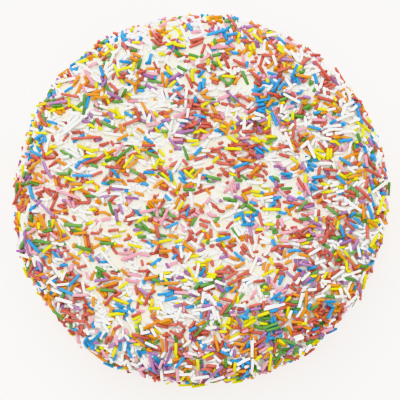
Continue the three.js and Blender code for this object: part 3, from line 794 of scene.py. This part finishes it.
def best_rest(heap, drops, i):
    """Which try of a sprinkle rests lowest and flattest, with its height and slope, if any."""
    steepest = STEEPEST if i < drops.strewn else STEEPEST_STANDOUT
    best = None
    for k in range(TRIES):
        needed = drops.bare[i, k] + drops.radius[i] - drops.sunk[i]
        near = heap.near(drops.feet[i, k])
        if len(near):
            clear = heap.clearance(near, drops.balls[i, k], drops.radius[i], drops.normal[i, k])
            needed = np.maximum(needed, clear)
        if drops.stands[i]:
            slope = drops.lean[i]
            height = (needed - drops.run[i, 0] * slope).max()
        else:
            height, slope = rest_on(drops.run[i, 0], needed)
        score = height + TILT_COST * abs(slope)
        if drops.stands[i] or abs(slope) <= steepest:
            if best is None or score < best[0]:
                best = score, k, height, slope
    return best and best[1:]


def lay_one(heap, drops, i, k, height, slope):
    """Lays a sprinkle at one of its tries, at a height and slope."""
    way_out = drops.normal[i, k]
    own = drops.axis[i, k] + way_out * slope
    own = own / np.linalg.norm(own)
    out = way_out - own * (way_out @ own)
    out = out / np.linalg.norm(out)
    centre = drops.middle[i, k] + way_out * height
    side = np.cross(out, own)
    balls = centre + np.outer(SPOTS * drops.reach[i, 0], own)
    balls = balls + np.outer(drops.offset[i, 0], side)
    heap.lay(balls, drops.feet[i, k], drops.radius[i])
    return Coat(centre, own, out, drops.length[i], drops.radius[i], drops.bow[i], height,
                drops.pair[i])


def lay_sprinkles(rng):
    """Lays the coat one by one. Also gives the number of the first one read off the photo."""
    heap = Heap()
    laid = lay_large_ones(heap)
    drops = plan_drops(rng)
    for i in range(drops.count):
        rest = best_rest(heap, drops, i)
        if rest and rest[1] <= drops.highest[i]:
            laid.append(lay_one(heap, drops, i, *rest))
    return Coat(*(np.array(column) for column in zip(*laid))), drops.strewn


# ================= Meshes =================

def make_piece(name, mesh, material):
    """A piece of the cake from its mesh, which stands for the solid model's one node."""
    piece = bpy.data.objects.new(name, mesh)
    bpy.context.collection.objects.link(piece)
    mesh.materials.append(material)
    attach(piece, "root")
    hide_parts("cake")
    return piece


def mesh_of(name, points, faces, smooth):
    """A mesh from millimetre points and a list of equal-sided face arrays."""
    mesh = bpy.data.meshes.new(name)
    mesh.vertices.add(len(points))
    mesh.vertices.foreach_set("co", (np.asarray(points) * MM).astype(np.float32).ravel())
    corners = np.concatenate([face.ravel() for face in faces])
    sizes = np.concatenate([np.full(len(face), face.shape[1]) for face in faces])
    starts = np.concatenate([[0], np.cumsum(sizes)[:-1]])
    mesh.loops.add(len(corners))
    mesh.loops.foreach_set("vertex_index", corners.astype(np.int32))
    mesh.polygons.add(len(sizes))
    mesh.polygons.foreach_set("loop_start", starts.astype(np.int32))
    mesh.polygons.foreach_set("use_smooth", np.asarray(smooth, bool))
    mesh.update(calc_edges=True)
    mesh.validate()
    return mesh


TURNS = 500
TOP_ROWS, SHOULDER_ROWS, SIDE_ROWS = 62, 24, 34
UNDERSIDE_RINGS = (0.97, 0.7, 0.35)  # as shares of the foot's radius


def frosting_mesh():
    """The frosted body: rings from the middle of the top down to the flat underside."""
    walk = np.concatenate([
        np.linspace(0, TOP_RADIUS, TOP_ROWS + 1)[1:],
        TOP_RADIUS + np.linspace(0, SHOULDER_ARC, SHOULDER_ROWS + 1)[1:],
        TOP_RADIUS + SHOULDER_ARC + np.linspace(0, SIDE_DEPTH, SIDE_ROWS + 1)[1:],
    ])
    azimuth = np.linspace(0, 2 * math.pi, TURNS, endpoint=False)
    rings = frosting_surface(walk[:, None], azimuth[None])[0]
    foot = rings[-1]
    foot[:, 2] = 0
    underside = np.stack([foot * (share, share, 0) for share in UNDERSIDE_RINGS])
    rings = np.concatenate([rings, underside])
    top = frosting_surface(np.array([0.0]), np.array([0.0]))[0]
    points = np.concatenate([top, rings.reshape(-1, 3), [[0, 0, 0]]])
    index = 1 + np.arange(len(rings) * TURNS).reshape(len(rings), TURNS)
    beside = np.roll(index, -1, axis=1)
    bands = np.stack([index[:-1], index[1:], beside[1:], beside[:-1]], -1).reshape(-1, 4)
    cap = np.stack([np.zeros(TURNS, int), index[0], beside[0]], -1)
    base = np.stack([np.full(TURNS, len(points) - 1), beside[-1], index[-1]], -1)
    smooth = np.ones(len(bands) + 2 * TURNS, bool)
    return mesh_of("frosting", points, [bands, cap, base], smooth)


SIDES = 8
UNEVEN = 0.035  # how much a sprinkle's ends and waist differ in thickness
ROUNDING = 0.2  # width of the rounded edge of its ends, in thicknesses
END_FACE, END_EDGE = 0.68, 0.97  # half thickness on both sides of that edge, as shares
RINGS = (  # where each ring is: share of half length, step back in thicknesses, radius share
    (-1, 0.0, END_FACE),
    (-1, ROUNDING, END_EDGE),
    (0, 0.0, 1.0),
    (1, -ROUNDING, END_EDGE),
    (1, 0.0, END_FACE),
)


def sprinkle_mesh(name, coat, chosen, tones, rng):
    """One joined mesh of all the chosen sprinkles, each a bowed, uneven rod with flat ends."""
    centre, own, out, length, radius, bow = (column[chosen] for column in coat[:6])
    count = len(length)
    taper, waist = rng.normal(0, UNEVEN, (2, count))
    side = np.cross(out, own)
    turn = 2 * math.pi * (np.arange(SIDES) + 0.5) / SIDES
    c, s = np.cos(turn), np.sin(turn)
    rings = []
    for end, back, share in RINGS:
        run = end * length / 2 + back * 2 * radius
        sideways = bow * (1 - (run / (length / 2)) ** 2)
        middle = centre + own * run[:, None] + side * sideways[:, None]
        uneven = 1 + end * taper + (end == 0) * waist
        thick = (radius * share * uneven)[:, None, None]
        round_ = side[:, None] * c[None, :, None] + out[:, None] * s[None, :, None]
        rings.append(middle[:, None] + thick * round_)
    points = np.stack(rings, 1)
    per = len(RINGS) * SIDES
    index = np.arange(per).reshape(len(RINGS), SIDES)
    beside = np.roll(index, -1, axis=1)
    walls = np.stack([index[:-1], beside[:-1], beside[1:], index[1:]], -1).reshape(-1, 4)
    first = (np.arange(count) * per)[:, None, None]
    walls = (first + walls[None]).reshape(-1, 4)
    ends = np.stack([index[0][::-1], index[-1]])
    ends = (first + ends[None]).reshape(-1, SIDES)
    smooth = np.concatenate([np.ones(len(walls), bool), np.zeros(len(ends), bool)])
    mesh = mesh_of(name, points.reshape(-1, 3), [walls, ends], smooth)
    tone = mesh.attributes.new("tone", "FLOAT", "POINT")
    tone.data.foreach_set("value", np.repeat(tones, per).astype(np.float32))
    add_bake_map(mesh, count)
    return mesh


# The flat map of one sprinkle, in shares of its cell: its wall above, its two ends below.
WALL_LEFT, WALL_WIDTH = 0.1, 0.8
WALL_ROWS = (0.34, 0.4, 0.62, 0.84, 0.9)
END_SIZE = 0.09
END_PLACES = ((0.28, 0.18), (0.72, 0.18))


def add_bake_map(mesh, count):
    """A flat map where each sprinkle has its own cell."""
    across = math.ceil(math.sqrt(count))
    cell = 1 / across
    corner = np.stack([np.arange(count) % across, np.arange(count) // across], -1) * cell
    columns = np.arange(SIDES + 1) / SIDES * WALL_WIDTH + WALL_LEFT
    wall = []
    for low, high in zip(WALL_ROWS, WALL_ROWS[1:]):
        for left, right in zip(columns, columns[1:]):
            wall += [(left, low), (right, low), (right, high), (left, high)]
    turn = 2 * math.pi * np.arange(SIDES) / SIDES
    disc = np.stack([np.cos(turn), np.sin(turn)], -1) * END_SIZE
    ends = np.concatenate([disc + place for place in END_PLACES])
    walls = (corner[:, None] + np.array(wall)[None] * cell).reshape(-1, 2)
    ends = (corner[:, None] + ends[None] * cell).reshape(-1, 2)
    layer = mesh.uv_layers.new(name="OFBake")
    layer.data.foreach_set("uv", np.concatenate([walls, ends]).astype(np.float32).ravel())


# ================= Colours =================

# Each kind's deepest and lightest colour.
COLOURS = {
    "white": (srgb(242, 242, 243), srgb(249, 250, 252)),
    "ivory": (srgb(238, 237, 231), srgb(245, 245, 241)),
    "red": (srgb(174, 76, 64), srgb(204, 117, 103)),
    "orange": (srgb(208, 128, 34), srgb(224, 163, 58)),
    "yellow": (srgb(212, 201, 20), srgb(226, 222, 24)),
    "green": (srgb(64, 127, 52), srgb(122, 166, 92)),
    "blue": (srgb(30, 130, 192), srgb(82, 167, 216)),
    "purple": (srgb(136, 82, 138), srgb(184, 142, 186)),
    "pink": (srgb(220, 150, 170), srgb(232, 186, 196)),
}
# Shares of the coloured sprinkles in the middle of the top and round the rim, and how far from
# the middle the shares start to change, and over how far, in pixels of the photo.
MIDDLE_SHARES = dict(red=35, orange=17, yellow=13, green=9, blue=10, purple=6, pink=8)
RIM_SHARES = dict(red=31, orange=18, yellow=12, green=8, blue=11, purple=8, pink=7)
CHANGE_FROM_PX = 60
CHANGE_OVER_PX = 110

# White: its share of them all, and how much it grows in the pale places, falls in the vivid
# ones, falls from the first laid to the last, grows with length, and grows low down.
WHITE_SHARE = 0.32
RIM_WHITE_SHARE = 0.44
PALE_WHITER = 1.3
VIVID_LESS_WHITE = 0.4
WHITE_UNDERNEATH = 0.3
WHITE_IF_LONG = 0.6
TYPICAL_LENGTH = 5.5
WHITE_LOW_DOWN = 0.5
TYPICAL_HEIGHT = 1.5
IVORY_SHARE = 0.4  # of the white ones

# How strongly a colour keeps to chance clumps of one size, and to where the photo gathers it.
CLUMP_SIZE = 5.5
CLUMP_SEED = 40
CLUMPING = 1.7
WHITE_CLUMPING = 0.9
GATHERED = 3.0
WHITE_GATHERED = 1.2


def colour_shares(coat):
    """How likely each sprinkle is to be white, and then each of the other colours."""
    pixels = photo_pixel(coat.centre)
    radius_px = np.hypot(*(pixels - CAKE_CENTRE_PX).T)
    rim = np.clip((radius_px - CHANGE_FROM_PX) / CHANGE_OVER_PX, 0, 1)
    coloured = sum(MIDDLE_SHARES.values()), sum(RIM_SHARES.values())
    whiter = (1 + PALE_WHITER * nearness(pixels, PALE_PLACES)) * (
        1 - VIVID_LESS_WHITE * nearness(pixels, VIVID_PLACES))
    white_share = WHITE_SHARE + rim * (RIM_WHITE_SHARE - WHITE_SHARE)
    white_share = white_share + WHITE_UNDERNEATH * (0.5 - np.arange(len(pixels)) / len(pixels))
    shares = []
    for name in ("white", *MIDDLE_SHARES):
        clump = lattice_noise(coat.centre, CLUMP_SIZE, CLUMP_SEED + len(shares))
        gathered = nearness(pixels, GATHERING[name])
        if name == "white":
            share = white_share * (1 + WHITE_GATHERED * gathered) * np.exp(WHITE_CLUMPING * clump)
            share = share * whiter * (coat.length / TYPICAL_LENGTH) ** WHITE_IF_LONG
            lower = TYPICAL_HEIGHT - coat.height
            share = share * np.exp(WHITE_LOW_DOWN * (1 - rim) * lower)
        else:
            middle_share = MIDDLE_SHARES[name] / coloured[0]
            rim_share = RIM_SHARES[name] / coloured[1]
            share = (middle_share + rim * (rim_share - middle_share)) * (1 - white_share)
            share = share * (1 + GATHERED * gathered) * np.exp(CLUMPING * clump)
        shares.append(share)
    return shares


def choose_colours(rng, coat, strewn):
    """The colour name of each sprinkle. Both of a pair draw the same number."""
    total = np.cumsum(colour_shares(coat), 0)
    pair = coat.pair.astype(int)
    drawn = rng.uniform(0, 1, len(pair) + pair.max() + 1)[pair] * total[-1]
    chosen = np.array(["white", *MIDDLE_SHARES])[(total < drawn).sum(0)]
    standout = standout_sprinkles()[1]
    for i in np.flatnonzero(pair >= strewn):
        chosen[i] = standout[pair[i] - strewn]
    ivory = (chosen == "white") & (rng.uniform(0, 1, len(chosen)) < IVORY_SHARE)
    return np.where(ivory, "ivory", chosen)


# ================= Materials =================

# Bumps: strength, and depth in metres.
SUGAR_BUMP = (0.25, 0.00012)
BUTTERCREAM_BUMP = (0.3, 0.0003)
SUGAR_FINISH = {
    "Roughness": 0.5,
    "Specular IOR Level": 0.22,
    "Subsurface Weight": 0.3,
    "Subsurface Radius": (1.0, 0.85, 0.7),
    "Subsurface Scale": 0.0008,
}
BUTTERCREAM_COLOURS = (srgb(240, 238, 227), srgb(236, 232, 216))
BUTTERCREAM_FINISH = {
    "Roughness": 0.55,
    "Subsurface Weight": 0.75,
    "Subsurface Radius": (1.0, 0.85, 0.65),
    "Subsurface Scale": 0.0035,
}


def nodes_of(material):
    """A material's node tree and its Principled shader."""
    material.use_nodes = True
    tree = material.node_tree
    return tree, tree.nodes["Principled BSDF"]


def set_sockets(node, values):
    """Sets a node's inputs, by name."""
    for name, value in values.items():
        node.inputs[name].default_value = value


def add_noise(tree, place, **values):
    """Noise fixed to the piece, with the given values on its sockets."""
    noise = tree.nodes.new("ShaderNodeTexNoise")
    set_sockets(noise, values)
    tree.links.new(place.outputs["Object"], noise.inputs["Vector"])
    return noise


def add_colour_mix(tree, factor):
    """A mix of two colours by a factor: its two colour inputs and its result."""
    mix = tree.nodes.new("ShaderNodeMix")
    mix.data_type = "RGBA"
    tree.links.new(factor, mix.inputs["Factor"])
    return mix.inputs[6], mix.inputs[7], mix.outputs[2]


def add_bump(tree, shader, height, strength, depth):
    """Small relief on a shader from a height that changes over the surface."""
    bump = tree.nodes.new("ShaderNodeBump")
    set_sockets(bump, {"Strength": strength, "Distance": depth})
    tree.links.new(height, bump.inputs["Height"])
    tree.links.new(bump.outputs["Normal"], shader.inputs["Normal"])


def add_group_socket(group, name, kind, way, value=None):
    """A named way in or out of a group of nodes."""
    socket = group.interface.new_socket(name=name, in_out=way, socket_type=kind)
    if value is not None:
        socket.default_value = value


def build_sugar_grain():
    """Shared effect: each sprinkle's own shade, and the fine grain of pressed sugar."""
    group = bpy.data.node_groups.new("sugar_grain", "ShaderNodeTree")
    add_group_socket(group, "Deep colour", "NodeSocketColor", "INPUT", (0.8, 0.8, 0.8, 1))
    add_group_socket(group, "Light colour", "NodeSocketColor", "INPUT", (1, 1, 1, 1))
    add_group_socket(group, "Grain share", "NodeSocketFloat", "INPUT", 0.5)
    add_group_socket(group, "Grain scale", "NodeSocketFloat", "INPUT", 2500.0)
    add_group_socket(group, "Colour", "NodeSocketColor", "OUTPUT")
    add_group_socket(group, "Grain height", "NodeSocketFloat", "OUTPUT")
    nodes, links = group.nodes, group.links
    enter, leave = nodes.new("NodeGroupInput"), nodes.new("NodeGroupOutput")
    tone = nodes.new("ShaderNodeAttribute")
    tone.attribute_name = "tone"
    grain = add_noise(group, nodes.new("ShaderNodeTexCoord"), Detail=2.0)
    links.new(enter.outputs["Grain scale"], grain.inputs["Scale"])
    shade = nodes.new("ShaderNodeMix")
    links.new(enter.outputs["Grain share"], shade.inputs["Factor"])
    links.new(tone.outputs["Fac"], shade.inputs["A"])
    links.new(grain.outputs["Fac"], shade.inputs["B"])
    deep, light, colour = add_colour_mix(group, shade.outputs["Result"])
    links.new(enter.outputs["Deep colour"], deep)
    links.new(enter.outputs["Light colour"], light)
    links.new(colour, leave.inputs["Colour"])
    links.new(grain.outputs["Fac"], leave.inputs["Grain height"])
    return group


def sprinkle_material(name, deep, light, grain_group):
    """Pressed sugar of one colour, from its deepest to its lightest shade."""
    material = bpy.data.materials.new("sugar_" + name)
    tree, shader = nodes_of(material)
    grain = tree.nodes.new("ShaderNodeGroup")
    grain.node_tree = grain_group
    set_sockets(grain, {"Deep colour": (*deep, 1), "Light colour": (*light, 1)})
    tree.links.new(grain.outputs["Colour"], shader.inputs["Base Color"])
    add_bump(tree, shader, grain.outputs["Grain height"], *SUGAR_BUMP)
    set_sockets(shader, SUGAR_FINISH)
    return material


def frosting_material():
    """Buttercream: soft patches of two creams, with a fine fatty unevenness."""
    material = bpy.data.materials.new("buttercream")
    tree, shader = nodes_of(material)
    place = tree.nodes.new("ShaderNodeTexCoord")
    patches = add_noise(tree, place, Scale=90.0, Detail=4.0)
    light, deep, colour = add_colour_mix(tree, patches.outputs["Fac"])
    light.default_value = (*BUTTERCREAM_COLOURS[0], 1)
    deep.default_value = (*BUTTERCREAM_COLOURS[1], 1)
    tree.links.new(colour, shader.inputs["Base Color"])
    fat = add_noise(tree, place, Scale=900.0, Detail=3.0)
    add_bump(tree, shader, fat.outputs["Fac"], *BUTTERCREAM_BUMP)
    set_sockets(shader, BUTTERCREAM_FINISH)
    return material


# ================= The scene round the cake =================

# Soft round lamps: place and size in metres, and watts.
LAMPS = {
    "overhead": ((-0.06, 0.28, 1.9), 1.6, 31),
    "key": ((-0.35, 1.25, 1.35), 1.2, 15),
}
LAMP_COLOUR = (0.975, 0.99, 1.0)
SKY = {"Color": (1.0, 0.96, 0.92, 1), "Strength": 0.58}
FLOOR_REACH = 4.0
FLOOR_FINISH = {
    "Base Color": (0.97, 0.97, 0.97, 1),
    "Roughness": 0.9,
    "Emission Color": (1, 1, 1, 1),
    "Emission Strength": 0.35,
}
FURTHEST_SEEN = 10  # in metres


def add_camera():
    """A camera straight above, which frames the cake as in the photo."""
    camera = bpy.data.cameras.new("camera")
    camera.sensor_width = SENSOR_MM
    camera.lens = FOCAL_PX * SENSOR_MM / PHOTO_SIZE
    camera.clip_end = FURTHEST_SEEN
    holder = bpy.data.objects.new("camera", camera)
    scale = (CAMERA_HEIGHT - COAT_HEIGHT) / FOCAL_PX
    aside = (PHOTO_SIZE / 2 - CAKE_CENTRE_PX[0]) * scale
    below = (CAKE_CENTRE_PX[1] - PHOTO_SIZE / 2) * scale
    holder.location = (aside * MM, below * MM, CAMERA_HEIGHT * MM)
    bpy.context.collection.objects.link(holder)
    bpy.context.scene.camera = holder


def add_lamp(name, place, size, watts):
    """A soft lamp that shines at the middle of the floor."""
    light = bpy.data.lights.new(name, "AREA")
    light.shape = "DISK"
    light.size = size
    light.energy = watts
    light.color = LAMP_COLOUR
    holder = bpy.data.objects.new(name, light)
    holder.location = place
    away = -holder.location
    holder.rotation_euler = away.to_track_quat("-Z", "Y").to_euler()
    bpy.context.collection.objects.link(holder)


def add_surroundings():
    """A plain studio: a slightly warm sky, two slightly cool lamps and a pale floor."""
    world = bpy.data.worlds.new("studio")
    bpy.context.scene.world = world
    world.use_nodes = True
    set_sockets(world.node_tree.nodes["Background"], SKY)
    for name, (place, size, watts) in LAMPS.items():
        add_lamp(name, place, size, watts)
    far, near = FLOOR_REACH, -FLOOR_REACH
    floor_mesh = bpy.data.meshes.new("floor")
    floor_mesh.from_pydata(
        [(near, near, 0), (far, near, 0), (far, far, 0), (near, far, 0)], [], [(0, 1, 2, 3)])
    floor = bpy.data.objects.new("floor", floor_mesh)
    pale = bpy.data.materials.new("floor_white")
    set_sockets(nodes_of(pale)[1], FLOOR_FINISH)
    floor_mesh.materials.append(pale)
    bpy.context.collection.objects.link(floor)
    view = bpy.context.scene.view_settings
    view.view_transform = "Khronos PBR Neutral"
    view.look = "None"


# ================= Making the cake =================

def main():
    """Lays the coat, then makes the frosting and one joined piece for each colour."""
    add_camera()
    add_surroundings()
    rng = np.random.default_rng(SEED)
    coat, strewn = lay_sprinkles(rng)
    colour_names = choose_colours(rng, coat, strewn)
    tones = rng.uniform(0, 1, len(colour_names))
    make_piece("frosting", frosting_mesh(), frosting_material())
    grain = build_sugar_grain()
    for name, (deep, light) in COLOURS.items():
        chosen = np.flatnonzero(colour_names == name)
        material = sprinkle_material(name, deep, light, grain)
        mesh = sprinkle_mesh("sprinkles_" + name, coat, chosen, tones[chosen], rng)
        make_piece("sprinkles_" + name, mesh, material)


main()
